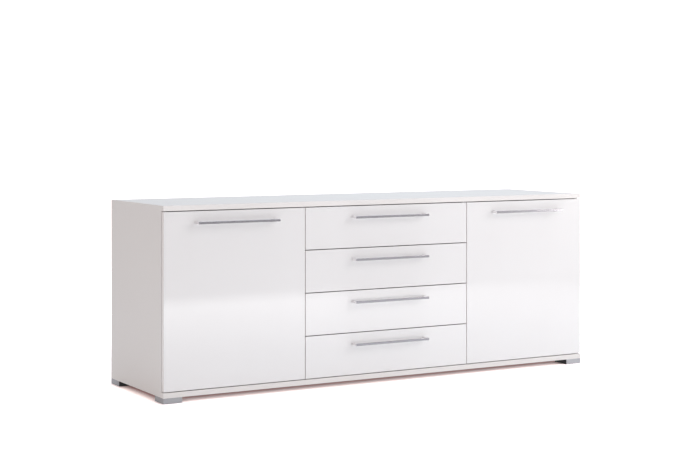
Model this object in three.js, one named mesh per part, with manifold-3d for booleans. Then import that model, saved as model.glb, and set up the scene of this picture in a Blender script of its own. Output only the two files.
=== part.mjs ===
// Sideboard with two hinged doors and a centre bank of four drawers.
// Millimetres. X runs from left to right, the fronts face -Y, Z is up.
// The origin is on the floor, under the middle of the sideboard's outer box, handles included.

import * as THREE from 'three';
import { mergeVertices } from 'three/addons/utils/BufferGeometryUtils.js';
import Module from 'manifold-3d';

const wasm = await Module();
wasm.setup();

// ---------------------------------------------------------------- driving dimensions

// Cabinet
const WIDTH = 1800;
const BODY_DEPTH = 450;
const HEIGHT = 666;
const BOARD = 18;
const FOOT_HEIGHT = 20;
const FOOT_SIDE = 70;
const PARTITION_CENTRE = 350;

// Doors and drawer fronts
const FRONT_THICKNESS = 16;
const FRONT_GAP = 3;
const FRONT_BUFFER = 2;
const END_INSET = 1;
const DRAWER_COUNT = 4;

// Bow handles
const HANDLE_LENGTH = 316;
const HANDLE_PROJECTION = 32;
const HANDLE_BAR = 8;
const HANDLE_DROP = 39;
const HANDLE_SCREW_RADIUS = 2.25;

// Back boards in their grooves
const BACK_THICKNESS = 3;
const BACK_INSET = 10;
const BACK_TONGUE = 5.5;
const GROOVE_DEPTH = 6;
const GROOVE_CLEARANCE = 0.375;

// Shelves and the holes for their pins
const SHELF_THICKNESS = 16;
const SHELF_BOTTOM = 335;
const SHELF_SETBACK = 20;
const SHELF_CLEARANCE = 1;
const SHELF_REAR_GAP = 3;
const PIN_RADIUS = 2.5;
const PIN_HOLE_DEPTH = 10;
const PIN_PITCH = 32;
const PIN_ROWS = 5;
const SYSTEM_LINE = 37;
const PIN_LINE_SPACING = 320;

// Concealed cup hinges
const HINGE_END_DISTANCE = 100;
const CUP_EDGE_DISTANCE = 22.5;
const CUP_BORE_RADIUS = 17.5;
const CUP_BORE_DEPTH = 12.5;
const CUP_RADIUS = 17.125;
const CUP_DEPTH = 12;
const CUP_WALL = 1;
const CUP_FLANGE = { thickness: 1.25, discRadius: 18.5, width: 18, height: 62 };
const HINGE_PLATE = { thickness: 2.5, width: 20, height: 62, overlap: 0.5 };
const HINGE_ARM = { width: 15, lift: 13, noseGap: 0.5, length: 84 };
const ARM_NOSE = { length: 22, slope: 3, cornerIn: 2, cornerBack: 6 };
const ARM_TAIL = { taper: 20, end: 5 };
const ARM_SPINE = { edge: 1, tail: 4 };

// Drawer boxes
const BOX_SIDE = 12;
const BOX_HEIGHT = 100;
const BOX_LENGTH = 400;
const BOX_RAISE = 18;
const BOX_BOTTOM_THICKNESS = 3;
const BOX_BOTTOM_RAISE = 10;
const BOX_GROOVE_CLEARANCE = 0.25;
const BOX_TONGUE = 5.5;

// Roller runners
const RUNNER_SPACE = 13;
const RUNNER_SHEET = 1.25;
const RUNNER_LENGTH = 400;
const CHANNEL = { height: 33, reach: 11, drop: 6, setback: 3 };
const RAIL = { rise: 15.25, reach: 8.75, underReach: 11, setback: 1, length: 398 };

const ROUND_SEGMENTS = 24;
const FINE_SEGMENTS = 10;

// ---------------------------------------------------------------- derived planes

const FRONT_Y = HANDLE_PROJECTION - (BODY_DEPTH + HANDLE_PROJECTION) / 2;
const REAR_Y = FRONT_Y + BODY_DEPTH;
const FRONT_BACK_Y = FRONT_Y + FRONT_THICKNESS;
const CARCASS_Y = FRONT_BACK_Y + FRONT_BUFFER;

const END_X = WIDTH / 2;
const SIDE_X = END_X - BOARD;
const FLOOR_Z = FOOT_HEIGHT + BOARD;
const CEILING_Z = HEIGHT - BOARD;

const FRONTS_BOTTOM = FLOOR_Z + FRONT_GAP;
const FRONTS_TOP = CEILING_Z - FRONT_GAP;
const DRAWER_FRONT_HEIGHT = (FRONTS_TOP - FRONTS_BOTTOM - (DRAWER_COUNT - 1) * FRONT_GAP) / DRAWER_COUNT;

const BACK_Y1 = REAR_Y - BACK_INSET;
const BACK_Y0 = BACK_Y1 - BACK_THICKNESS;
const BAY_X = PARTITION_CENTRE - BOARD / 2;
const COMPARTMENT_X = PARTITION_CENTRE + BOARD / 2;

// ---------------------------------------------------------------- materials

function finish(color, roughness, metalness = 0) {
  return new THREE.MeshStandardMaterial({ color, roughness, metalness });
}

const whiteBoard = finish(0xe9e7e4, 0.35);
const glossFront = finish(0xf2f1f0, 0.08);
const backBoard = finish(0xe4e2de, 0.6);
const drawerBoard = finish(0xdedcd8, 0.5);
const aluminium = finish(0xa7a6aa, 0.35, 1);
const footPlastic = finish(0xa9abad, 0.4, 0.3);
const hingeSteel = finish(0xb9babc, 0.3, 1);
const runnerSteel = finish(0xe8e8e6, 0.4, 0.2);

// ---------------------------------------------------------------- geometry helpers

const sideboard = new THREE.Group();

function addPart(name, geometry, material) {
  const mesh = new THREE.Mesh(geometry, material);
  mesh.name = name;
  sideboard.add(mesh);
}

// A block between its lowest and highest corners.
function block([x0, y0, z0], [x1, y1, z1]) {
  const geometry = new THREE.BoxGeometry(x1 - x0, y1 - y0, z1 - z0);
  geometry.translate((x0 + x1) / 2, (y0 + y1) / 2, (z0 + z1) / 2);
  return geometry;
}

// A block that is mirrored to the left end when side is -1. The X values are distances from the middle.
function sideBlock(side, [x0, y0, z0], [x1, y1, z1]) {
  const [low, high] = side < 0 ? [-x1, -x0] : [x0, x1];
  return block([low, y0, z0], [high, y1, z1]);
}

// A cylinder along X, starting at x and reaching length further towards the sign of length.
function rodAlongX(radius, x, length, y, z, segments) {
  const geometry = new THREE.CylinderGeometry(radius, radius, Math.abs(length), segments);
  geometry.rotateZ(Math.PI / 2);
  geometry.translate(x + length / 2, y, z);
  return geometry;
}

// A cylinder along Y from y0 to y1.
function rodAlongY(radius, x, y0, y1, z, segments) {
  const geometry = new THREE.CylinderGeometry(radius, radius, y1 - y0, segments);
  geometry.translate(x, (y0 + y1) / 2, z);
  return geometry;
}

function outline(points) {
  return new THREE.Shape(points.map(([u, v]) => new THREE.Vector2(u, v)));
}

// An outline in X and Y, extruded upwards from z0 to z1.
function extrudeUp(points, z0, z1) {
  const geometry = new THREE.ExtrudeGeometry(outline(points), { depth: z1 - z0, bevelEnabled: false });
  geometry.translate(0, 0, z0);
  return geometry;
}

// An outline in X and Z, extruded along Y from y0 to y1.
function extrudeBack(points, y0, y1) {
  const geometry = new THREE.ExtrudeGeometry(outline(points), { depth: y1 - y0, bevelEnabled: false });
  geometry.rotateX(Math.PI / 2);
  geometry.translate(0, y1, 0);
  return geometry;
}

function toSolid(geometry) {
  const bare = geometry.clone();
  bare.deleteAttribute('normal');
  bare.deleteAttribute('uv');
  const merged = mergeVertices(bare);
  return new wasm.Manifold(new wasm.Mesh({
    numProp: 3,
    vertProperties: Float32Array.from(merged.attributes.position.array),
    triVerts: Uint32Array.from(merged.index.array),
  }));
}

function toGeometry(solid) {
  const { vertProperties, triVerts } = solid.getMesh();
  const geometry = new THREE.BufferGeometry();
  geometry.setAttribute('position', new THREE.BufferAttribute(vertProperties, 3));
  geometry.setIndex(new THREE.BufferAttribute(triVerts, 1));
  geometry.computeVertexNormals();
  return geometry;
}

function join(...pieces) {
  return toGeometry(pieces.map(toSolid).reduce((whole, piece) => whole.add(piece)));
}

function cut(geometry, cutters) {
  return toGeometry(cutters.map(toSolid).reduce((whole, tool) => whole.subtract(tool), toSolid(geometry)));
}

// ---------------------------------------------------------------- carcass

const grooveY = [BACK_Y0 - GROOVE_CLEARANCE, BACK_Y1 + GROOVE_CLEARANCE];

// The plates' groove stops short of their ends, so that it never shows.
function plateGroove(z0, z1) {
  const reach = SIDE_X + GROOVE_DEPTH;
  return block([-reach, grooveY[0], z0], [reach, grooveY[1], z1]);
}

function addPlates() {
  const bottom = block([-END_X, FRONT_Y, FOOT_HEIGHT], [END_X, REAR_Y, FLOOR_Z]);
  const top = block([-END_X, FRONT_Y, CEILING_Z], [END_X, REAR_Y, HEIGHT]);
  addPart('bottom_panel', cut(bottom, [plateGroove(FLOOR_Z - GROOVE_DEPTH, FLOOR_Z + 1)]), whiteBoard);
  addPart('top_panel', cut(top, [plateGroove(CEILING_Z - 1, CEILING_Z + GROOVE_DEPTH)]), whiteBoard);
}

// Two columns of blind holes for shelf pins, drilled from a face at x towards the sign of inward.
function pinHoles(x, inward) {
  const holes = [];
  for (let row = 0; row < PIN_ROWS; row += 1) {
    const z = SHELF_BOTTOM - PIN_RADIUS + (row - (PIN_ROWS - 1) / 2) * PIN_PITCH;
    for (const y of [CARCASS_Y + SYSTEM_LINE, CARCASS_Y + SYSTEM_LINE + PIN_LINE_SPACING]) {
      holes.push(rodAlongX(PIN_RADIUS, x - inward, inward * (PIN_HOLE_DEPTH + 1), y, z, FINE_SEGMENTS));
    }
  }
  return holes;
}

// A groove for the back board, cut from a face at x towards the sign of inward.
function uprightGroove(x, inward) {
  const xs = [x - inward, x + inward * GROOVE_DEPTH].sort((a, b) => a - b);
  return block([xs[0], grooveY[0], FLOOR_Z - 1], [xs[1], grooveY[1], CEILING_Z + 1]);
}

function addUprights(side, word) {
  const end = sideBlock(side, [SIDE_X, CARCASS_Y, FLOOR_Z], [END_X, REAR_Y, CEILING_Z]);
  const partition = sideBlock(side, [BAY_X, CARCASS_Y, FLOOR_Z], [COMPARTMENT_X, REAR_Y, CEILING_Z]);
  const innerFace = side * SIDE_X;
  const outerPartitionFace = side * COMPARTMENT_X;
  addPart(`${word}_side_panel`, cut(end, [
    uprightGroove(innerFace, side),
    ...pinHoles(innerFace, side),
  ]), whiteBoard);
  addPart(`${word}_partition`, cut(partition, [
    uprightGroove(outerPartitionFace, -side),
    uprightGroove(side * BAY_X, side),
    ...pinHoles(outerPartitionFace, -side),
  ]), whiteBoard);
}

function addBackBoards() {
  const z0 = FLOOR_Z - BACK_TONGUE;
  const z1 = CEILING_Z + BACK_TONGUE;
  const bay = BAY_X + BACK_TONGUE;
  addPart('centre_back_panel', block([-bay, BACK_Y0, z0], [bay, BACK_Y1, z1]), backBoard);
  for (const [side, word] of [[-1, 'left'], [1, 'right']]) {
    const low = [COMPARTMENT_X - BACK_TONGUE, BACK_Y0, z0];
    const high = [SIDE_X + BACK_TONGUE, BACK_Y1, z1];
    addPart(`${word}_back_panel`, sideBlock(side, low, high), backBoard);
  }
}

function addShelf(side, word) {
  const low = [COMPARTMENT_X + SHELF_CLEARANCE, CARCASS_Y + SHELF_SETBACK, SHELF_BOTTOM];
  const high = [SIDE_X - SHELF_CLEARANCE, BACK_Y0 - SHELF_REAR_GAP, SHELF_BOTTOM + SHELF_THICKNESS];
  addPart(`${word}_shelf`, sideBlock(side, low, high), whiteBoard);
}

function addFeet(side, word) {
  const xs = [END_X - FOOT_SIDE, END_X];
  for (const [place, y] of [['front', FRONT_Y], ['rear', REAR_Y - FOOT_SIDE]]) {
    const foot = sideBlock(side, [xs[0], y, 0], [xs[1], y + FOOT_SIDE, FOOT_HEIGHT]);
    addPart(`${place}_${word}_foot`, foot, footPlastic);
  }
}

// ---------------------------------------------------------------- handles

// A square bar with a square post at each end, all in one plane.
function handleGeometry(centreX, centreZ) {
  const x0 = centreX - HANDLE_LENGTH / 2;
  const x1 = centreX + HANDLE_LENGTH / 2;
  const barFront = FRONT_Y - HANDLE_PROJECTION;
  const barBack = barFront + HANDLE_BAR;
  const points = [
    [x0, barFront],
    [x1, barFront],
    [x1, FRONT_Y],
    [x1 - HANDLE_BAR, FRONT_Y],
    [x1 - HANDLE_BAR, barBack],
    [x0 + HANDLE_BAR, barBack],
    [x0 + HANDLE_BAR, FRONT_Y],
    [x0, FRONT_Y],
  ];
  return extrudeUp(points, centreZ - HANDLE_BAR / 2, centreZ + HANDLE_BAR / 2);
}

function handleScrewHoles(centreX, centreZ) {
  const offset = (HANDLE_LENGTH - HANDLE_BAR) / 2;
  return [-offset, offset].map((dx) => rodAlongY(
    HANDLE_SCREW_RADIUS, centreX + dx, FRONT_Y - 1, FRONT_BACK_Y + 1, centreZ, FINE_SEGMENTS,
  ));
}

// ---------------------------------------------------------------- doors and hinges

const hingeHeights = [
  ['lower', FRONTS_BOTTOM + HINGE_END_DISTANCE],
  ['upper', FRONTS_TOP - HINGE_END_DISTANCE],
];
const doorX = [PARTITION_CENTRE + FRONT_GAP / 2, END_X - END_INSET];
const cupX = doorX[1] - CUP_EDGE_DISTANCE;

function addDoor(side, word) {
  const panel = sideBlock(side, [doorX[0], FRONT_Y, FRONTS_BOTTOM], [doorX[1], FRONT_BACK_Y, FRONTS_TOP]);
  const handleX = side * (doorX[0] + doorX[1]) / 2;
  const handleZ = FRONTS_TOP - HANDLE_DROP;
  const cups = hingeHeights.map(([, z]) => rodAlongY(
    CUP_BORE_RADIUS, side * cupX, FRONT_BACK_Y - CUP_BORE_DEPTH, FRONT_BACK_Y + 1, z, ROUND_SEGMENTS,
  ));
  addPart(`${word}_door_panel`, cut(panel, [...cups, ...handleScrewHoles(handleX, handleZ)]), glossFront);
  addPart(`${word}_door_handle`, handleGeometry(handleX, handleZ), aluminium);
}

// The cup sits in the door's bore, and its flange lies on the door's back.
function hingeCup(side, z) {
  const x = side * cupX;
  const { thickness, discRadius, width, height } = CUP_FLANGE;
  const rim = FRONT_BACK_Y + thickness;
  const shell = join(
    rodAlongY(CUP_RADIUS, x, FRONT_BACK_Y - CUP_DEPTH, rim, z, ROUND_SEGMENTS),
    rodAlongY(discRadius, x, FRONT_BACK_Y, rim, z, ROUND_SEGMENTS),
    block([x - width / 2, FRONT_BACK_Y, z - height / 2], [x + width / 2, rim, z + height / 2]),
  );
  const hollow = rodAlongY(
    CUP_RADIUS - CUP_WALL, x, FRONT_BACK_Y - CUP_DEPTH + CUP_WALL, rim + 1, z, ROUND_SEGMENTS,
  );
  return cut(shell, [hollow]);
}

// A wing plate screwed to the side panel, with the arm that reaches forward to the cup.
function hingeArm(side, z) {
  const nose = CARCASS_Y + HINGE_ARM.noseGap;
  const tail = nose + HINGE_ARM.length;
  const line = CARCASS_Y + SYSTEM_LINE;
  const foot = SIDE_X - HINGE_PLATE.thickness;
  const crest = foot - HINGE_ARM.lift;
  const arm = [
    [foot, nose + ARM_NOSE.length],
    [foot - ARM_NOSE.slope, nose],
    [crest + ARM_NOSE.cornerIn, nose],
    [crest, nose + ARM_NOSE.cornerBack],
    [crest, tail - ARM_TAIL.taper],
    [foot - ARM_TAIL.end, tail],
    [foot, tail],
  ].map(([x, y]) => [side * x, y]);
  const plate = sideBlock(
    side,
    [foot - HINGE_PLATE.overlap, line - HINGE_PLATE.width / 2, z - HINGE_PLATE.height / 2],
    [SIDE_X, line + HINGE_PLATE.width / 2, z + HINGE_PLATE.height / 2],
  );
  const spine = sideBlock(
    side,
    [foot - HINGE_PLATE.overlap, nose + ARM_NOSE.length, z - HINGE_ARM.width / 2 + ARM_SPINE.edge],
    [SIDE_X, tail - ARM_SPINE.tail, z + HINGE_ARM.width / 2 - ARM_SPINE.edge],
  );
  return join(extrudeUp(arm, z - HINGE_ARM.width / 2, z + HINGE_ARM.width / 2), plate, spine);
}

function addHinges(side, word) {
  for (const [level, z] of hingeHeights) {
    addPart(`${word}_${level}_hinge_cup`, hingeCup(side, z), hingeSteel);
    addPart(`${word}_${level}_hinge_arm`, hingeArm(side, z), hingeSteel);
  }
}

// ---------------------------------------------------------------- drawers

const drawerX = PARTITION_CENTRE - FRONT_GAP / 2;
const boxX = BAY_X - RUNNER_SPACE;
const boxY = [FRONT_BACK_Y, FRONT_BACK_Y + BOX_LENGTH];

// The groove that holds the drawer bottom runs round the front and the box at one height.
function bottomGroove(boxZ) {
  const reach = boxX - BOX_SIDE + GROOVE_DEPTH;
  const z0 = boxZ + BOX_BOTTOM_RAISE - BOX_GROOVE_CLEARANCE;
  const z1 = boxZ + BOX_BOTTOM_RAISE + BOX_BOTTOM_THICKNESS + BOX_GROOVE_CLEARANCE;
  return block([-reach, boxY[0] - GROOVE_DEPTH, z0], [reach, boxY[1] - BOX_SIDE + GROOVE_DEPTH, z1]);
}

// The two sides and the back are one board, folded at the rear corners.
function drawerBox(boxZ) {
  const inner = boxX - BOX_SIDE;
  const points = [
    [-boxX, boxY[0]],
    [-inner, boxY[0]],
    [-inner, boxY[1] - BOX_SIDE],
    [inner, boxY[1] - BOX_SIDE],
    [inner, boxY[0]],
    [boxX, boxY[0]],
    [boxX, boxY[1]],
    [-boxX, boxY[1]],
  ];
  return cut(extrudeUp(points, boxZ, boxZ + BOX_HEIGHT), [bottomGroove(boxZ)]);
}

function drawerBottom(boxZ) {
  const reach = boxX - BOX_SIDE + BOX_TONGUE;
  const z0 = boxZ + BOX_BOTTOM_RAISE;
  const low = [-reach, boxY[0] - BOX_TONGUE, z0];
  const high = [reach, boxY[1] - BOX_SIDE + BOX_TONGUE, z0 + BOX_BOTTOM_THICKNESS];
  return block(low, high);
}

// The channel on the partition: a web with a lower track and an upper guide.
function channelGeometry(side, boxZ) {
  const z0 = boxZ - CHANNEL.drop;
  const z1 = z0 + CHANNEL.height;
  const tip = BAY_X - CHANNEL.reach;
  const web = BAY_X - RUNNER_SHEET;
  const points = [
    [BAY_X, z0],
    [tip, z0],
    [tip, z0 + RUNNER_SHEET],
    [web, z0 + RUNNER_SHEET],
    [web, z1 - RUNNER_SHEET],
    [tip, z1 - RUNNER_SHEET],
    [tip, z1],
    [BAY_X, z1],
  ].map(([x, z]) => [side * x, z]);
  const y0 = CARCASS_Y + CHANNEL.setback;
  return extrudeBack(points, y0, y0 + RUNNER_LENGTH);
}

// The rail on the drawer: a lip under the box side, a web and an outward flange that rolls on the rollers.
function railGeometry(side, boxZ) {
  const web = boxX + RUNNER_SHEET;
  const lip = boxX - RAIL.underReach;
  const top = boxZ + RAIL.rise;
  const points = [
    [lip, boxZ - RUNNER_SHEET],
    [web, boxZ - RUNNER_SHEET],
    [web, top - RUNNER_SHEET],
    [web + RAIL.reach, top - RUNNER_SHEET],
    [web + RAIL.reach, top],
    [boxX, top],
    [boxX, boxZ],
    [lip, boxZ],
  ].map(([x, z]) => [side * x, z]);
  const y0 = boxY[0] + RAIL.setback;
  return extrudeBack(points, y0, y0 + RAIL.length);
}

function addDrawer(number) {
  const name = `drawer_${number}`;
  const frontZ = FRONTS_BOTTOM + (DRAWER_COUNT - number) * (DRAWER_FRONT_HEIGHT + FRONT_GAP);
  const boxZ = frontZ + BOX_RAISE;
  const handleZ = frontZ + DRAWER_FRONT_HEIGHT - HANDLE_DROP;
  const front = block([-drawerX, FRONT_Y, frontZ], [drawerX, FRONT_BACK_Y, frontZ + DRAWER_FRONT_HEIGHT]);
  addPart(`${name}_front`, cut(front, [bottomGroove(boxZ), ...handleScrewHoles(0, handleZ)]), glossFront);
  addPart(`${name}_handle`, handleGeometry(0, handleZ), aluminium);
  addPart(`${name}_box`, drawerBox(boxZ), drawerBoard);
  addPart(`${name}_bottom`, drawerBottom(boxZ), backBoard);
  for (const [side, word] of [[-1, 'left'], [1, 'right']]) {
    addPart(`${name}_${word}_channel`, channelGeometry(side, boxZ), runnerSteel);
    addPart(`${name}_${word}_rail`, railGeometry(side, boxZ), runnerSteel);
  }
}

// ---------------------------------------------------------------- assembly

addPlates();
addBackBoards();
for (const [side, word] of [[-1, 'left'], [1, 'right']]) {
  addUprights(side, word);
  addShelf(side, word);
  addFeet(side, word);
  addDoor(side, word);
  addHinges(side, word);
}
for (let number = 1; number <= DRAWER_COUNT; number += 1) {
  addDrawer(number);
}

export default sideboard;
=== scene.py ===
"""Looks of the sideboard: gloss white fronts, satin white carcass, brushed handles and the small hardware."""

import math

import bmesh
import bpy
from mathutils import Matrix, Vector


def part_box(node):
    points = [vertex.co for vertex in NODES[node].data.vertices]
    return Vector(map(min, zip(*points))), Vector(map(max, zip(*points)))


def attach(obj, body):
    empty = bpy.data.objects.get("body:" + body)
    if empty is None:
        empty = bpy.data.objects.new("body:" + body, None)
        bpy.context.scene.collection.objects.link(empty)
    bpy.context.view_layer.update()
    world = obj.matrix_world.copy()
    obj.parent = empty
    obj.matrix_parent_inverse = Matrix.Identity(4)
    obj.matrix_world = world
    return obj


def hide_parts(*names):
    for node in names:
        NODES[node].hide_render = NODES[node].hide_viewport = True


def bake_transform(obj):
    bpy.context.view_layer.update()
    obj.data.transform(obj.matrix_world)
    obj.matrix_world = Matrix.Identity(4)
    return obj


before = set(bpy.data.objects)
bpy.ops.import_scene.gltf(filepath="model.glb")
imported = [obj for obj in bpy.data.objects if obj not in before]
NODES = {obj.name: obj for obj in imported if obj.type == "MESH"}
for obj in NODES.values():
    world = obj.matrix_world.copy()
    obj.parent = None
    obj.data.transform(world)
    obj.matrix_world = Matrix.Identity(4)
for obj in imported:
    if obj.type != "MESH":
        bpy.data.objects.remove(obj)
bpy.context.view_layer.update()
SCENE = bpy.context.scene
MM = 0.001

X, Y, Z = Vector((1, 0, 0)), Vector((0, 1, 0)), Vector((0, 0, 1))
SIDES = (("left", -1), ("right", 1))
DRAWERS = (1, 2, 3, 4)

# ---------------------------------------------------------------- planes taken from the frame

BOTTOM_LOW, BOTTOM_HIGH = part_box("bottom_panel")
TOP_LOW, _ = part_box("top_panel")
SIDE_LOW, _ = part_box("right_side_panel")
PARTITION_LOW, PARTITION_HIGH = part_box("right_partition")
DOOR_LOW, DOOR_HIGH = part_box("right_door_panel")

DOOR_BACK_Y = DOOR_HIGH.y
CARCASS_Y = SIDE_LOW.y
MIDDLE_Y = (BOTTOM_LOW.y + BOTTOM_HIGH.y) / 2

# The first hole line of the boards behind their front edges. Hinge plates, runners and shelf pins share it.
SYSTEM_LINE = 37 * MM

# ---------------------------------------------------------------- camera, floor and light

CAMERA_PLACE = (-2.9732, -4.6888, 0.9522)
CAMERA_YAW = -0.4889
CAMERA_LENS = 77.917
CAMERA_SENSOR = 36
CAMERA_SHIFT = (0.13946, -0.16473)

# The room's colour and brightness by direction. A pair of numbers is where a change starts and ends.
ROOM_TINT_LEFT = (1, 0.9, 0.865, 1)
ROOM_TINT_RIGHT = (1, 0.98, 0.985, 1)
ROOM_TINT_TURN = (-0.6, 0.3)
ROOM_LEFT = 0.55
ROOM_RIGHT = 0.5
ROOM_TURN = (-0.9, 0.5)
PANEL_POWER = 0.77
PANEL_ACROSS = (0.44, 0.74)
PANEL_FORWARD = (0.1, -0.3)
BACKDROP = 1.05

FLOOR_HALF = 14
FLOOR_FRONT = 2.9
FLOOR_EDGE_RISE = 0.45
FLOOR_EDGE_PAINTED_SHADE = (0.45, 0.45, 0.45)
FLOOR_GLOW = 0.15
STRIP_GLOW = 1.5
STRIP_DEPTH = 1.9
STRIP_ACROSS = (0.9, 2.7)
FADE_TO_WHITE = (1.0, 1.6)

# The floor's colours for the camera: a painted brightening that lifts faint shadows to white, and a painted
# warm shadow under the cabinet.
FLOOR_PAINTED_BRIGHTENING = (3.0, 2.82, 2.8)
FLOOR_PAINTED_SHADOW = (0.6, 0.3, 0.29)
PAINTED_SHADOW_ACROSS = (0.86, 0.92)
PAINTED_SHADOW_DEEP = (0.13, 0.25)


def add_camera():
    """A level camera at the front left, about a metre up, with its picture shifted to the cabinet."""
    data = bpy.data.cameras.new("camera")
    data.sensor_width = CAMERA_SENSOR
    data.lens = CAMERA_LENS
    data.shift_x, data.shift_y = CAMERA_SHIFT
    camera = bpy.data.objects.new("camera", data)
    camera.location = CAMERA_PLACE
    camera.rotation_euler = (math.radians(90), 0, CAMERA_YAW)
    SCENE.collection.objects.link(camera)
    SCENE.camera = camera


def add_area(name, location, target, size, power, colour):
    """A rectangular lamp that points at target."""
    data = bpy.data.lights.new(name, "AREA")
    data.shape = "RECTANGLE"
    data.size, data.size_y = size
    data.energy = power
    data.color = colour
    lamp = bpy.data.objects.new(name, data)
    lamp.location = location
    direction = Vector(target) - Vector(location)
    lamp.rotation_euler = direction.to_track_quat("-Z", "Y").to_euler()
    SCENE.collection.objects.link(lamp)
    return lamp


def add_lamps():
    """A soft key at the front right, a cool top light, and a small lamp for a glint on the right handle.

    The key stays out of reflections, and the small lamp shows in reflections only."""
    key = add_area("key", (3.0, -3.4, 2.6), (0.2, 0, 0.3), (2.6, 2.0), 56, (1, 0.97, 0.955))
    key.visible_glossy = False
    add_area("top", (0.6, 0.4, 3.6), (0.1, 0, 0.3), (3.6, 2.6), 74, (0.7, 0.87, 1))
    glint = add_area("glint", (3.36, -3.0, 1.1), (0.75, -0.24, 0.6), (0.3, 0.8), 24, (1, 0.97, 0.94))
    glint.visible_diffuse = False


def add_world():
    """A studio room, warm on the left and neutral on the right, with a bright panel at the front right.

    The camera sees plain white instead, so the background is white from any side."""
    world = bpy.data.worlds.new("studio")
    SCENE.world = world
    world.use_nodes = True
    tree = world.node_tree
    tree.nodes.clear()
    link = tree.links.new

    def ramp(source, turn, low, high):
        made = tree.nodes.new("ShaderNodeMapRange")
        made.interpolation_type = "SMOOTHSTEP"
        for socket, value in zip(("From Min", "From Max", "To Min", "To Max"), (*turn, low, high)):
            made.inputs[socket].default_value = value
        link(source, made.inputs["Value"])
        return made.outputs[0]

    def combine(operation, first, second):
        made = tree.nodes.new("ShaderNodeMath")
        made.operation = operation
        link(first, made.inputs[0])
        link(second, made.inputs[1])
        return made.outputs[0]

    coords = tree.nodes.new("ShaderNodeTexCoord")
    split = tree.nodes.new("ShaderNodeSeparateXYZ")
    link(coords.outputs["Generated"], split.inputs[0])
    walls = ramp(split.outputs["X"], ROOM_TURN, ROOM_LEFT, ROOM_RIGHT)
    right = ramp(split.outputs["X"], PANEL_ACROSS, 0.0, 1.0)
    front = ramp(split.outputs["Y"], PANEL_FORWARD, 0.0, PANEL_POWER)
    room = tree.nodes.new("ShaderNodeBackground")
    tint = tree.nodes.new("ShaderNodeMix")
    tint.data_type = "RGBA"
    link(ramp(split.outputs["X"], ROOM_TINT_TURN, 0.0, 1.0), tint.inputs["Factor"])
    tint.inputs["A"].default_value = ROOM_TINT_LEFT
    tint.inputs["B"].default_value = ROOM_TINT_RIGHT
    link(tint.outputs["Result"], room.inputs["Color"])
    link(combine("ADD", walls, combine("MULTIPLY", right, front)), room.inputs["Strength"])
    plain = tree.nodes.new("ShaderNodeBackground")
    plain.inputs["Color"].default_value = (1, 1, 1, 1)
    plain.inputs["Strength"].default_value = BACKDROP
    path = tree.nodes.new("ShaderNodeLightPath")
    mix = tree.nodes.new("ShaderNodeMixShader")
    link(path.outputs["Is Camera Ray"], mix.inputs[0])
    link(room.outputs[0], mix.inputs[1])
    link(plain.outputs[0], mix.inputs[2])
    out = tree.nodes.new("ShaderNodeOutputWorld")
    link(mix.outputs[0], out.inputs["Surface"])


def add_floor():
    """A pale floor that reaches far behind the cabinet and ends in front of it, below the picture."""
    mesh = bpy.data.meshes.new("studio_floor")
    bm = bmesh.new()
    bmesh.ops.create_grid(bm, x_segments=2, y_segments=2, size=1)
    bmesh.ops.scale(bm, verts=bm.verts, vec=(FLOOR_HALF, FLOOR_HALF, 1))
    bmesh.ops.translate(bm, verts=bm.verts, vec=(0, FLOOR_HALF - FLOOR_FRONT, 0))
    bm.to_mesh(mesh)
    bm.free()
    floor = bpy.data.objects.new("studio_floor", mesh)
    SCENE.collection.objects.link(floor)
    mesh.materials.append(floor_material())


# ---------------------------------------------------------------- material helpers

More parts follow.
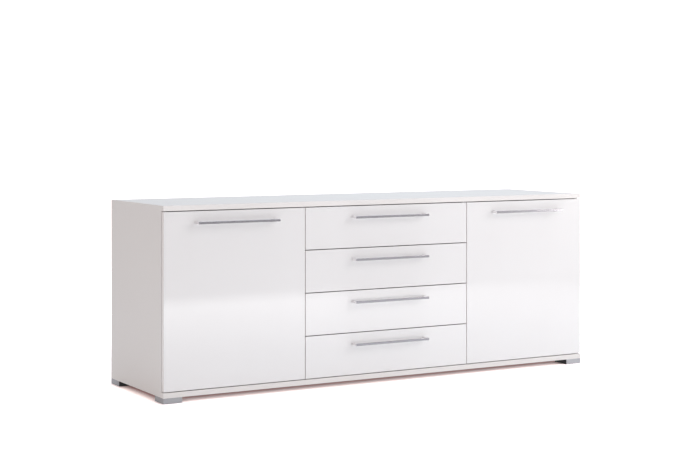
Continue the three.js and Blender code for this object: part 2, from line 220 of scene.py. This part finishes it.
class Shader:
    """A node material with a Principled surface that is built up by short calls."""

    def __init__(self, name, colour, roughness, metallic=0.0, coat=0.0, specular=0.5):
        self.material = bpy.data.materials.new(name)
        self.material.use_nodes = True
        self.tree = self.material.node_tree
        self.surface = self.tree.nodes["Principled BSDF"]
        self.surface.inputs["Base Color"].default_value = (*colour, 1)
        self.surface.inputs["Roughness"].default_value = roughness
        self.surface.inputs["Metallic"].default_value = metallic
        self.surface.inputs["Coat Weight"].default_value = coat
        self.surface.inputs["Coat Roughness"].default_value = 0.03
        self.surface.inputs["Specular IOR Level"].default_value = specular
        texture = self.node("ShaderNodeTexCoord")
        self.coords = texture.outputs["Object"]
        self.normal = texture.outputs["Normal"]

    def node(self, kind, **settings):
        made = self.tree.nodes.new(kind)
        for key, value in settings.items():
            setattr(made, key, value)
        return made

    def link(self, source, target):
        self.tree.links.new(source, target)

    def stretched(self, scale):
        """The object's coordinates, scaled by a different number on each axis."""
        mapping = self.node("ShaderNodeMapping")
        mapping.inputs["Scale"].default_value = scale
        self.link(self.coords, mapping.inputs["Vector"])
        return mapping.outputs["Vector"]

    def noise(self, scale, detail=2.0, rough=0.5, vector=None):
        made = self.node("ShaderNodeTexNoise")
        made.inputs["Scale"].default_value = scale
        made.inputs["Detail"].default_value = detail
        made.inputs["Roughness"].default_value = rough
        self.link(vector or self.coords, made.inputs["Vector"])
        return made.outputs["Fac"]

    def cells(self, scale):
        """Random colours, one for each cell."""
        made = self.node("ShaderNodeTexVoronoi")
        made.inputs["Scale"].default_value = scale
        self.link(self.coords, made.inputs["Vector"])
        return made.outputs["Color"]

    def ranged(self, value, low, high, source_low=0.3, source_high=0.7):
        """Maps the source range of an output to low and high. Most noise lies between 0.3 and 0.7."""
        made = self.node("ShaderNodeMapRange")
        made.inputs["From Min"].default_value = source_low
        made.inputs["From Max"].default_value = source_high
        made.inputs["To Min"].default_value = low
        made.inputs["To Max"].default_value = high
        self.link(value, made.inputs["Value"])
        return made.outputs["Result"]

    def blend(self, factor, first, second):
        """Mixes two colours, each a triple or an output."""
        made = self.node("ShaderNodeMix", data_type="RGBA")
        self.link(factor, made.inputs["Factor"])
        for socket, value in (("A", first), ("B", second)):
            if isinstance(value, tuple):
                made.inputs[socket].default_value = (*value, 1)
            else:
                self.link(value, made.inputs[socket])
        return made.outputs["Result"]

    def facing(self, axis, low=0.6, high=0.9):
        """0 to 1 as the normal's part along an axis goes from low to high, which may both be negative."""
        split = self.node("ShaderNodeSeparateXYZ")
        self.link(self.normal, split.inputs[0])
        return self.ranged(split.outputs[axis], 0, 1, low, high)

    def facing_either(self, axis, low=0.6, high=0.9):
        """1 where the surface faces either way along an axis."""
        return self.math("MAXIMUM", self.facing(axis, low, high), self.facing(axis, -low, -high))

    def math(self, operation, first, second):
        """An arithmetic node on an output and either another output or a number."""
        made = self.node("ShaderNodeMath", operation=operation)
        self.link(first, made.inputs[0])
        if isinstance(second, float):
            made.inputs[1].default_value = second
        else:
            self.link(second, made.inputs[1])
        return made.outputs[0]

    def colour(self, output):
        self.link(output, self.surface.inputs["Base Color"])

    def roughness(self, output):
        self.link(output, self.surface.inputs["Roughness"])

    def bump(self, height, strength, distance):
        made = self.node("ShaderNodeBump")
        made.inputs["Strength"].default_value = strength
        made.inputs["Distance"].default_value = distance
        previous = self.surface.inputs["Normal"].links
        if previous:
            self.link(previous[0].from_socket, made.inputs["Normal"])
        self.link(height, made.inputs["Height"])
        self.link(made.outputs["Normal"], self.surface.inputs["Normal"])


def floor_material():
    """Matt white paint with a glowing strip near its front edge and painted shade at the edge itself; the
    gloss fronts mirror both.

    What the camera sees fades to plain white around the cabinet, with a painted warm, dark shadow under it."""
    made = Shader("studio_floor", (0.96, 0.96, 0.96), 0.6, specular=0.1)
    sees = made.node("ShaderNodeLightPath").outputs["Is Camera Ray"]
    split = made.node("ShaderNodeSeparateXYZ")
    made.link(made.coords, split.inputs[0])
    across, forward = split.outputs["X"], split.outputs["Y"]

    # The floor's front edge is painted darker, a painted shade that the gloss fronts mirror.
    rise = made.ranged(forward, 0.0, 1.0, -FLOOR_FRONT, FLOOR_EDGE_RISE - FLOOR_FRONT)
    white = made.blend(made.noise(1.5), (0.95, 0.95, 0.95), (0.97, 0.97, 0.97))
    painted = made.blend(rise, FLOOR_EDGE_PAINTED_SHADE, white)
    # Under the cabinet the camera sees a painted shadow; around it a painted brightening turns faint shadows
    # white.
    beside = made.ranged(made.math("ABSOLUTE", across, 0.0), 0.0, 1.0, *PAINTED_SHADOW_ACROSS)
    from_middle = made.math("ABSOLUTE", made.math("SUBTRACT", forward, MIDDLE_Y), 0.0)
    before = made.ranged(from_middle, 0.0, 1.0, *PAINTED_SHADOW_DEEP)
    seen = made.blend(made.math("MAXIMUM", beside, before), FLOOR_PAINTED_SHADOW, FLOOR_PAINTED_BRIGHTENING)
    made.colour(made.blend(sees, painted, seen))

    fall = made.ranged(forward, STRIP_GLOW, 0.0, -FLOOR_FRONT, STRIP_DEPTH - FLOOR_FRONT)
    left_part = made.ranged(across, 1.0, 0.0, *STRIP_ACROSS)
    strip = made.math("MULTIPLY", made.math("MULTIPLY", fall, rise), left_part)
    distance = made.node("ShaderNodeVectorMath", operation="LENGTH")
    made.link(made.coords, distance.inputs[0])
    far = made.ranged(distance.outputs["Value"], 0.0, 1.0, *FADE_TO_WHITE)
    backdrop = made.math("MULTIPLY", far, sees)
    unseen = made.ranged(sees, 1.0, 0.0, 0.0, 1.0)
    base = made.math("MULTIPLY", unseen, FLOOR_GLOW)
    glow = made.math("ADD", made.math("ADD", strip, backdrop), base)
    made.surface.inputs["Emission Color"].default_value = (1, 1, 1, 1)
    made.link(glow, made.surface.inputs["Emission Strength"])
    return made.material


# ---------------------------------------------------------------- materials of the cabinet

def gloss_white():
    """High-gloss foil: a mirror-smooth coat with a faint long-wave waviness. The edges are painted darker and
    warmer, a painted shade that shows in the gaps between the fronts.
    """
    made = Shader("gloss_white", (0.84, 0.83, 0.84), 0.2, coat=1.0)
    made.surface.inputs["Coat IOR"].default_value = 1.7
    face = made.blend(made.noise(3.0, 3), (0.818, 0.806, 0.814), (0.838, 0.826, 0.834))
    # Painted shade: the edge faces, seen only through the gaps, get a darker warm tint.
    edge = (0.82, 0.78, 0.77)
    made.colour(made.blend(made.facing_either("Y", 0.8, 0.95), edge, face))
    made.roughness(made.ranged(made.noise(9.0, 5, 0.6), 0.16, 0.26))
    made.bump(made.noise(14.0, 1), 0.05, 0.0006)
    made.bump(made.noise(420.0, 2), 0.03, 0.0001)
    return made.material


def chipboard_colour(made):
    """Pressed wood chips, lying flat in the board."""
    chips = made.cells(420.0)
    fine = made.noise(900.0, 4, 0.7)
    tint = made.node("ShaderNodeSeparateColor")
    made.link(chips, tint.inputs["Color"])
    wood = made.blend(tint.outputs["Red"], (0.43, 0.29, 0.16), (0.72, 0.55, 0.36))
    return made.blend(made.ranged(fine, 0.0, 0.6), wood, (0.25, 0.155, 0.08))


def satin_board():
    """Melamine-faced board with a fine pearl grain. Its rear edges are left raw, so they show the chips."""
    made = Shader("satin_board", (0.82, 0.795, 0.785), 0.38)
    white = made.blend(made.noise(2.2, 3), (0.81, 0.785, 0.775), (0.83, 0.805, 0.795))
    made.colour(made.blend(made.facing("Y"), white, chipboard_colour(made)))
    made.roughness(made.ranged(made.noise(60.0, 6, 0.7), 0.3, 0.44))
    made.bump(made.noise(1300.0, 3, 0.6), 0.1, 0.00012)
    made.bump(made.noise(18.0, 2), 0.03, 0.0006)
    return made.material


def lacquered_hardboard():
    """Thin fibreboard, white on the inside and bare brown on the rear."""
    made = Shader("lacquered_hardboard", (0.78, 0.77, 0.75), 0.5)
    white = made.blend(made.noise(5.0, 4), (0.77, 0.73, 0.71), (0.81, 0.77, 0.755))
    fibres = made.noise(260.0, 6, 0.75, made.stretched((1.0, 1.0, 0.35)))
    brown = made.blend(made.ranged(fibres, 0, 1), (0.2, 0.118, 0.062), (0.34, 0.215, 0.125))
    made.colour(made.blend(made.facing("Y"), white, brown))
    made.roughness(made.ranged(made.noise(90.0, 4), 0.42, 0.62))
    made.bump(made.noise(700.0, 4, 0.65), 0.18, 0.00015)
    return made.material


def drawer_foil():
    """Paper foil on the drawer boxes, with a faint linen press."""
    made = Shader("drawer_foil", (0.76, 0.755, 0.74), 0.5)
    made.colour(made.blend(made.noise(4.0, 4), (0.765, 0.735, 0.72), (0.79, 0.76, 0.745)))
    threads = made.noise(600.0, 2, 0.5, made.stretched((1.0, 0.12, 1.0)))
    made.roughness(made.ranged(threads, 0.42, 0.58))
    made.bump(threads, 0.12, 0.0001)
    return made.material


def brushed_metal(name, colour, roughness, grain_axis="X", depth=0.2, stretch=0.85, ends=None):
    """Metal brushed along one axis: long scratches in the roughness and the bump.

    The faces turned to the left and right may get a painted highlight, a brighter colour of their own."""
    made = Shader(name, colour, roughness, metallic=1.0)
    squeeze = {"X": (0.02, 1, 1), "Y": (1, 0.02, 1), "Z": (1, 1, 0.02)}[grain_axis]
    scratches = made.noise(2600.0, 3, 0.6, made.stretched(squeeze))
    broad = made.noise(30.0, 3, 0.5, made.stretched(squeeze))
    dark = tuple(c * 0.93 for c in colour)
    along = made.blend(made.ranged(broad, 0, 1), dark, colour)
    # Painted highlight: the end faces take their own brighter colour.
    if ends:
        along = made.blend(made.facing_either("X"), along, ends)
    made.colour(along)
    made.roughness(made.ranged(scratches, roughness - 0.07, roughness + 0.1))
    made.bump(scratches, depth, 0.00006)
    tangent = made.node("ShaderNodeTangent", direction_type="RADIAL", axis=grain_axis)
    made.surface.inputs["Anisotropic"].default_value = stretch
    made.link(tangent.outputs["Tangent"], made.surface.inputs["Tangent"])
    return made.material


def nickel():
    """Bright nickel plate with faint clouds."""
    made = Shader("nickel", (0.7, 0.69, 0.67), 0.22, metallic=1.0)
    made.colour(made.blend(made.noise(70.0, 3), (0.69, 0.68, 0.66), (0.72, 0.71, 0.69)))
    made.roughness(made.ranged(made.noise(350.0, 4, 0.7), 0.2, 0.27))
    made.bump(made.noise(900.0, 2), 0.03, 0.00003)
    return made.material


def epoxy_white():
    """Powder coat with orange peel."""
    made = Shader("epoxy_white", (0.82, 0.82, 0.81), 0.35)
    made.colour(made.blend(made.noise(40.0, 3), (0.8, 0.8, 0.79), (0.84, 0.84, 0.83)))
    made.roughness(made.ranged(made.noise(200.0, 4), 0.28, 0.42))
    made.bump(made.noise(520.0, 1), 0.25, 0.00012)
    return made.material


def moulded(name, colour, roughness, grain=900.0):
    """Moulded plastic with a spark-eroded grain."""
    made = Shader(name, colour, roughness)
    lighter = tuple(c * 1.12 + 0.004 for c in colour)
    made.colour(made.blend(made.noise(60.0, 4), colour, lighter))
    made.roughness(made.ranged(made.noise(grain, 3), roughness - 0.06, roughness + 0.08))
    made.bump(made.noise(grain, 2), 0.2, 0.00012)
    return made.material


# ---------------------------------------------------------------- mesh helpers

SHARP_ANGLE = math.radians(30)


def new_piece(name, bm, body, material, bevel=0.0, segments=2):
    """Turns a bmesh into a finished piece that rides on a body. Without a body it is left to be blended."""
    bmesh.ops.recalc_face_normals(bm, faces=bm.faces)
    mesh = bpy.data.meshes.new(name)
    bm.to_mesh(mesh)
    bm.free()
    mesh.materials.append(MATERIALS[material])
    piece = bpy.data.objects.new(name, mesh)
    SCENE.collection.objects.link(piece)
    soften(piece, bevel, segments)
    if body is not None:
        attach(piece, body)
    return piece


def soften(piece, bevel, segments=2):
    """Rounds the sharp edges and shades the rest smooth."""
    if bevel > 0:
        modifier = piece.modifiers.new("edges", "BEVEL")
        modifier.width = bevel
        modifier.segments = segments
        modifier.limit_method = "ANGLE"
        modifier.angle_limit = SHARP_ANGLE
    for polygon in piece.data.polygons:
        polygon.use_smooth = True
    piece.data.set_sharp_from_angle(angle=SHARP_ANGLE)


def add_block(bm, low, high):
    """A block between two corners, added to bm."""
    corners = [
        bm.verts.new((x, y, z))
        for z in (low[2], high[2])
        for y in (low[1], high[1])
        for x in (low[0], high[0])
    ]
    for loop in ((0, 2, 3, 1), (4, 5, 7, 6), (0, 1, 5, 4), (2, 6, 7, 3), (0, 4, 6, 2), (1, 3, 7, 5)):
        bm.faces.new([corners[i] for i in loop])


def join_loops(bm, loops):
    """Closes loops of the same length into a skin with a face at both ends."""
    bm.faces.new(loops[0])
    bm.faces.new(loops[-1])
    count = len(loops[0])
    for first, second in zip(loops, loops[1:]):
        for i in range(count):
            j = (i + 1) % count
            bm.faces.new((first[i], first[j], second[j], second[i]))


def add_turned(bm, rings, centre, axis, segments=24):
    """A turned body: rings of (radius, height) along axis. A radius may be a function of the angle."""
    turn = Z.rotation_difference(axis).to_matrix()
    loops = []
    for radius, height in rings:
        loop = []
        for i in range(segments):
            angle = 2 * math.pi * i / segments
            r = radius(angle) if callable(radius) else radius
            local = Vector((r * math.cos(angle), r * math.sin(angle), height))
            loop.append(bm.verts.new(Vector(centre) + turn @ local))
        loops.append(loop)
    join_loops(bm, loops)


def add_prism(bm, points, bottom, top):
    """A flat outline in X and Y, swept up from bottom to top."""
    join_loops(bm, [[bm.verts.new((x, y, z)) for x, y in points] for z in (bottom, top)])


def cross_recess(length, half_width):
    """The outline of a cross recess as a radius for each angle."""
    def radius(angle):
        folded = (angle + math.pi / 4) % (math.pi / 2) - math.pi / 4
        reach = length / math.cos(folded)
        sine = abs(math.sin(folded))
        return half_width / sine if sine * reach > half_width else reach
    return radius


def screw_rings(radius, height):
    """A domed screw head with a cross recess, standing on height 0."""
    recess = cross_recess(radius * 0.6, radius * 0.14)
    return [
        (radius * 0.96, -0.0002),
        (radius, 0.0002),
        (radius * 0.97, height * 0.45),
        (radius * 0.8, height * 0.85),
        (radius * 0.66, height),
        (recess, height * 0.98),
        (cross_recess(radius * 0.5, radius * 0.11), height * 0.25),
    ]


def add_turned_piece(name, rings, centre, axis, body, material, segments=24):
    bm = bmesh.new()
    add_turned(bm, rings, centre, axis, segments)
    new_piece(name, bm, body, material)


def add_screw(name, centre, axis, radius, height, body):
    rings = screw_rings(radius, height)
    add_turned_piece(name, rings, centre, axis, body, "nickel", 32)


# ---------------------------------------------------------------- CAD nodes: materials and edges

BOARD_EDGE = 0.5 * MM
FRONT_EDGE = 0.6 * MM
BOX_EDGE = 0.6 * MM
THIN_BOARD_EDGE = 0.2 * MM
SHEET_EDGE = 0.3 * MM
HINGE_ARM_EDGE = 0.6 * MM


def dress(name, material, bevel, segments=2):
    """Gives a CAD node its material and softens its edges."""
    node = NODES[name]
    node.data.materials.clear()
    node.data.materials.append(MATERIALS[material])
    soften(node, bevel, segments)


def dress_nodes():
    for name in ("top_panel", "bottom_panel", "left_shelf", "right_shelf"):
        dress(name, "satin_board", BOARD_EDGE)
    for word, _ in SIDES:
        dress(f"{word}_side_panel", "satin_board", BOARD_EDGE)
        dress(f"{word}_partition", "satin_board", BOARD_EDGE)
        dress(f"{word}_back_panel", "hardboard", THIN_BOARD_EDGE)
        dress(f"{word}_door_panel", "gloss_white", FRONT_EDGE, 3)
        for level in ("lower", "upper"):
            dress(f"{word}_{level}_hinge_cup", "nickel", SHEET_EDGE)
            dress(f"{word}_{level}_hinge_arm", "nickel", HINGE_ARM_EDGE)
    dress("centre_back_panel", "hardboard", THIN_BOARD_EDGE)
    for number in DRAWERS:
        dress(f"drawer_{number}_front", "gloss_white", FRONT_EDGE, 3)
        dress(f"drawer_{number}_box", "drawer_foil", BOX_EDGE)
        dress(f"drawer_{number}_bottom", "hardboard", THIN_BOARD_EDGE)
        for word, _ in SIDES:
            dress(f"drawer_{number}_{word}_channel", "epoxy_white", SHEET_EDGE)
            dress(f"drawer_{number}_{word}_rail", "epoxy_white", SHEET_EDGE)


# ---------------------------------------------------------------- handles

BAR = 8 * MM
BAR_EDGE = 0.7 * MM
POST_EDGE = 0.5 * MM
POST_SEAM = 0.15 * MM
HANDLE_SCREW = (4.0 * MM, 2.6 * MM)


def add_handle(node, body):
    """A square bar on two square posts that end flush with it, with a fine seam between them."""
    low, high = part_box(node)
    bar = bmesh.new()
    add_block(bar, low, (high.x, low.y + BAR, high.z))
    piece = new_piece(f"{node}_bar", bar, body, "brushed_x", BAR_EDGE, 3)
    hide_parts(node)
    for side, x0 in (("left", low.x), ("right", high.x - BAR)):
        post = bmesh.new()
        add_block(post, (x0, low.y + BAR + POST_SEAM, low.z), (x0 + BAR, high.y, high.z))
        new_piece(f"{node}_{side}_post", post, body, "brushed_y", POST_EDGE, 3)
        centre = (x0 + BAR / 2, DOOR_BACK_Y, (low.z + high.z) / 2)
        add_screw(f"{node}_{side}_screw", centre, Y, *HANDLE_SCREW, body)


# ---------------------------------------------------------------- feet

FOOT_SKIN = 2 * MM
FOOT_SEAM = 0.2 * MM
FOOT_RIM = 0.6 * MM
COVER_EDGE = 0.35 * MM
CORE_EDGE = 0.8 * MM
PAD_RINGS = [(24 * MM, 0), (25 * MM, 0.2 * MM), (25 * MM, 0.7 * MM)]


def add_foot(place, word, side):
    """A dark moulded block with a silver facing folded round its two outer sides, and a glide pad below."""
    node = f"{place}_{word}_foot"
    low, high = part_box(node)
    depth = -1 if place == "front" else 1
    outer_x, inner_x = (low.x, high.x) if side < 0 else (high.x, low.x)
    outer_y, inner_y = (low.y, high.y) if depth < 0 else (high.y, low.y)
    base = low.z + FOOT_RIM
    cover = bmesh.new()
    outline = [
        (outer_x, outer_y),
        (inner_x, outer_y),
        (inner_x, outer_y - depth * FOOT_SKIN),
        (outer_x - side * FOOT_SKIN, outer_y - depth * FOOT_SKIN),
        (outer_x - side * FOOT_SKIN, inner_y),
        (outer_x, inner_y),
    ]
    add_prism(cover, outline, base, high.z)
    piece = new_piece(f"{node}_cover", cover, "carcass", "silver_facing", COVER_EDGE)
    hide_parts(node)
    core = bmesh.new()
    xs = sorted((outer_x - side * (FOOT_SKIN + FOOT_SEAM), inner_x))
    ys = sorted((outer_y - depth * (FOOT_SKIN + FOOT_SEAM), inner_y))
    add_block(core, (xs[0], ys[0], base), (xs[1], ys[1], high.z))
    new_piece(f"{node}_core", core, "carcass", "black_plastic", CORE_EDGE, 3)
    middle = ((low.x + high.x) / 2, (low.y + high.y) / 2, low.z)
    add_turned_piece(f"{node}_pad", PAD_RINGS, middle, Z, "carcass", "grey_felt", 40)


# ---------------------------------------------------------------- shelf pins, cam caps and bumpers

PIN_LINES = (CARCASS_Y + SYSTEM_LINE, CARCASS_Y + SYSTEM_LINE + 320 * MM)
PIN_DROP = 2.5 * MM
PIN_RINGS = [
    (2.3 * MM, -8 * MM),
    (2.4 * MM, -7.6 * MM),
    (2.4 * MM, -0.1 * MM),
    (4.0 * MM, 0.0),
    (4.0 * MM, 0.8 * MM),
    (2.5 * MM, 1.0 * MM),
    (2.5 * MM, 8.6 * MM),
    (2.1 * MM, 9.0 * MM),
]
CAM_CAP_LINES = (CARCASS_Y + 60 * MM, CARCASS_Y + 340 * MM)
CAM_CAP_FROM_PLATE = 34 * MM
BUMPER_RINGS = [
    (4.0 * MM, -0.1 * MM),
    (4.0 * MM, 0.5 * MM),
    (3.5 * MM, 1.2 * MM),
    (2.2 * MM, 1.6 * MM),
]


def compartment_faces(side):
    """The two board faces that look into a compartment: the end panel's and the partition's."""
    return (side * SIDE_LOW.x, -side), (side * PARTITION_HIGH.x, side)


def add_shelf_pins(word, side):
    """A steel pin with a collar and a flat rest, four for each shelf."""
    low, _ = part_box(f"{word}_shelf")
    for where, (x, direction) in zip(("outer", "inner"), compartment_faces(side)):
        for row, y in zip(("front", "rear"), PIN_LINES):
            name = f"{word}_shelf_{where}_{row}_pin"
            centre = (x, y, low.z - PIN_DROP)
            add_turned_piece(name, PIN_RINGS, centre, X * direction, "carcass", "nickel", 20)


def add_cam_caps(word, side):
    """White caps over the cam fittings that hold the end panel and the partition to the plates."""
    rings = [
        (8.6 * MM, -0.2 * MM),
        (8.6 * MM, 0.5 * MM),
        (8.0 * MM, 0.9 * MM),
        (4.0 * MM, 1.05 * MM),
        (cross_recess(2.6 * MM, 0.7 * MM), 1.05 * MM),
        (cross_recess(2.4 * MM, 0.6 * MM), 0.5 * MM),
    ]
    levels = (("low", BOTTOM_HIGH.z + CAM_CAP_FROM_PLATE), ("high", TOP_LOW.z - CAM_CAP_FROM_PLATE))
    for board, (x, direction) in zip(("side", "partition"), compartment_faces(side)):
        for level, z in levels:
            for row, y in zip(("front", "rear"), CAM_CAP_LINES):
                name = f"{word}_{board}_{level}_{row}_cam_cap"
                add_turned_piece(
                    name, rings, (x, y, z), X * direction, "carcass", "white_plastic", 32,
                )


def add_bumpers(body, xs, zs):
    """Soft stick-on dots in the corners of a front's back face."""
    for i, x in enumerate(xs):
        for j, z in enumerate(zs):
            name = f"{body}_bumper_{i}{j}"
            centre = (x, DOOR_BACK_Y, z)
            add_turned_piece(name, BUMPER_RINGS, centre, Y, body, "clear_rubber")


# ---------------------------------------------------------------- hinges

HINGE_SCREW_RISE = 26 * MM
HINGE_PLATE = 2.5 * MM
CUP_SCREW = (3.4 * MM, 0.6 * MM)
PLATE_SCREW = (3.6 * MM, 1.6 * MM)
ADJUSTING_SCREW = (3.2 * MM, 0.8 * MM)
SIDE_ADJUST_AT = 22 * MM
DEPTH_ADJUST_AT = 52 * MM

LINK_STEPS = 28
LINK_RISE = 4.6 * MM
LINK_START = 9 * MM
LINK_LENGTH = 20 * MM
LINK_UNDER_CREST = 5.5 * MM
LINK_HALF_WIDTH = 3.4 * MM
LINK_WAIST = 0.8 * MM
LINK_HALF_SHEET = 0.75 * MM


def add_hinge_details(word, side, level):
    """The screws of one hinge and its links."""
    cup_low, cup_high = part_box(f"{word}_{level}_hinge_cup")
    arm_low, arm_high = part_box(f"{word}_{level}_hinge_arm")
    name = f"{word}_{level}_hinge"
    cup = (cup_low + cup_high) / 2
    inward = X * -side
    plate_x = side * (SIDE_LOW.x - HINGE_PLATE)
    for end, rise in (("lower", -HINGE_SCREW_RISE), ("upper", HINGE_SCREW_RISE)):
        z = cup.z + rise
        add_screw(f"{name}_cup_{end}_screw", (cup.x, cup_high.y, z), Y, *CUP_SCREW, f"{word}_door")
        place = (plate_x, CARCASS_Y + SYSTEM_LINE, z)
        add_screw(f"{name}_plate_{end}_screw", place, inward, *PLATE_SCREW, "carcass")
    crest = arm_low.x if side > 0 else arm_high.x
    for label, back in (("side_adjust", SIDE_ADJUST_AT), ("depth_adjust", DEPTH_ADJUST_AT)):
        place = (crest, arm_low.y + back, cup.z)
        add_screw(f"{name}_{label}_screw", place, inward, *ADJUSTING_SCREW, "carcass")
    add_hinge_links(name, side, cup, arm_low.y, crest)


def add_hinge_links(name, side, cup, nose_y, crest):
    """Two pressed links that run from the arm's nose into the cup."""
    for which, rise in (("lower", -LINK_RISE), ("upper", LINK_RISE)):
        bm = bmesh.new()
        loops = []
        for i in range(LINK_STEPS + 1):
            share = i / LINK_STEPS
            y = nose_y + LINK_START - share * LINK_LENGTH
            x = (crest + side * LINK_UNDER_CREST) * (1 - share) + cup.x * share
            half = LINK_HALF_WIDTH - LINK_WAIST * math.sin(math.pi * share)
            loops.append([
                bm.verts.new((x + a * half, y, cup.z + rise + b * LINK_HALF_SHEET))
                for a, b in ((-1, -1), (1, -1), (1, 1), (-1, 1))
            ])
        join_loops(bm, loops)
        piece = new_piece(f"{name}_{which}_link", bm, None, "nickel")
        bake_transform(piece)


# ---------------------------------------------------------------- runners

def roller_rings(radius, width):
    """A nylon roller with a crowned rim and a dished hub."""
    return [
        (1.6 * MM, width * 0.2),
        (radius * 0.72, width * 0.16),
        (radius * 0.78, 0.0),
        (radius * 0.94, 0.0),
        (radius, width * 0.12),
        (radius, width * 0.88),
        (radius * 0.94, width),
        (radius * 0.78, width),
        (radius * 0.72, width * 0.84),
        (2.6 * MM, width * 0.8),
        (2.6 * MM, width * 1.08),
        (1.4 * MM, width * 1.12),
    ]


RUNNER_SHEET = 1.25 * MM
RAIL_LIP = 11 * MM
ROLLER_WIDTH = 7 * MM
ROLLER_PLAY = 0.1 * MM
ROLLER_FROM_END = 2 * MM
CHANNEL_SCREW = (3.2 * MM, 1.2 * MM)
CHANNEL_SCREW_RAISE = 5 * MM
CHANNEL_SCREWS_BACK = (SYSTEM_LINE, 165 * MM, SYSTEM_LINE + 320 * MM)


def add_runner_details(number, word, side):
    """A roller at the front of the channel, one at the rear of the rail, and the channel's screws."""
    name = f"drawer_{number}_{word}"
    channel_low, channel_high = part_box(f"{name}_channel")
    rail_low, rail_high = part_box(f"{name}_rail")
    track = channel_low.z + RUNNER_SHEET
    flange = rail_high.z - RUNNER_SHEET
    radius = (flange - track) / 2 - ROLLER_PLAY
    rings = roller_rings(radius, ROLLER_WIDTH)
    z = (flange + track) / 2
    inward = X * -side
    web = side * PARTITION_LOW.x - side * RUNNER_SHEET
    place = (web, channel_low.y + radius + ROLLER_FROM_END, z)
    add_turned_piece(f"{name}_front_roller", rings, place, inward, "carcass", "nylon", 36)
    rail_web = side * (min(abs(rail_low.x), abs(rail_high.x)) + RAIL_LIP + RUNNER_SHEET)
    place = (rail_web, rail_high.y - radius - ROLLER_FROM_END, z)
    drawer = f"drawer_{number}"
    add_turned_piece(f"{name}_rear_roller", rings, place, X * side, drawer, "nylon", 36)
    screw_z = (channel_low.z + channel_high.z) / 2 + CHANNEL_SCREW_RAISE
    for i, back in enumerate(CHANNEL_SCREWS_BACK):
        place = (web, CARCASS_Y + back, screw_z)
        add_screw(f"{name}_channel_screw_{i}", place, inward, *CHANNEL_SCREW, "carcass")


# ---------------------------------------------------------------- build

DOOR_BUMPER_IN = 7 * MM
DOOR_BUMPER_FROM_CORNER = 25 * MM
DRAWER_BUMPER_IN = 7.2 * MM
DRAWER_BUMPER_DOWN = 20 * MM

MATERIALS = {
    "gloss_white": gloss_white(),
    "satin_board": satin_board(),
    "hardboard": lacquered_hardboard(),
    "drawer_foil": drawer_foil(),
    # The bar and the posts are one metal: the bar's colour is painted darker and the posts' brighter, and the
    # bar's end faces get a painted highlight, for the reflections each face catches.
    "brushed_x": brushed_metal("brushed_bar_painted_dark", (0.385, 0.375, 0.4), 0.19, "X", 0.08, 0.97, (0.9, 0.88, 0.9)),
    "brushed_y": brushed_metal("brushed_post_painted_bright", (0.93, 0.91, 0.92), 0.34, "Y"),
    "silver_facing": brushed_metal("silver_facing", (0.485, 0.485, 0.51), 0.5, "X", 0.12, 0.0),
    "nickel": nickel(),
    "epoxy_white": epoxy_white(),
    "nylon": moulded("nylon", (0.74, 0.73, 0.7), 0.42),
    "white_plastic": moulded("white_plastic", (0.8, 0.795, 0.78), 0.38),
    "black_plastic": moulded("black_plastic", (0.022, 0.022, 0.024), 0.45),
    "grey_felt": moulded("grey_felt", (0.12, 0.115, 0.11), 0.9, 2400.0),
    "clear_rubber": moulded("clear_rubber", (0.66, 0.67, 0.67), 0.2),
}

SCENE.view_settings.view_transform = "Standard"
add_camera()
add_world()
add_floor()
add_lamps()

dress_nodes()
for side_word, side_sign in SIDES:
    door = f"{side_word}_door"
    add_handle(f"{door}_handle", door)
    add_shelf_pins(side_word, side_sign)
    add_cam_caps(side_word, side_sign)
    for corner in ("front", "rear"):
        add_foot(corner, side_word, side_sign)
    for hinge_level in ("lower", "upper"):
        add_hinge_details(side_word, side_sign, hinge_level)
    bumper_x = side_sign * (DOOR_LOW.x + DOOR_BUMPER_IN)
    bumper_levels = (DOOR_LOW.z + DOOR_BUMPER_FROM_CORNER, DOOR_HIGH.z - DOOR_BUMPER_FROM_CORNER)
    add_bumpers(door, [bumper_x], bumper_levels)
for drawer_number in DRAWERS:
    drawer_name = f"drawer_{drawer_number}"
    add_handle(f"{drawer_name}_handle", drawer_name)
    front_low, front_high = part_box(f"{drawer_name}_front")
    bumper_xs = (front_low.x + DRAWER_BUMPER_IN, front_high.x - DRAWER_BUMPER_IN)
    add_bumpers(drawer_name, bumper_xs, [front_high.z - DRAWER_BUMPER_DOWN])
    for side_word, side_sign in SIDES:
        add_runner_details(drawer_number, side_word, side_sign)
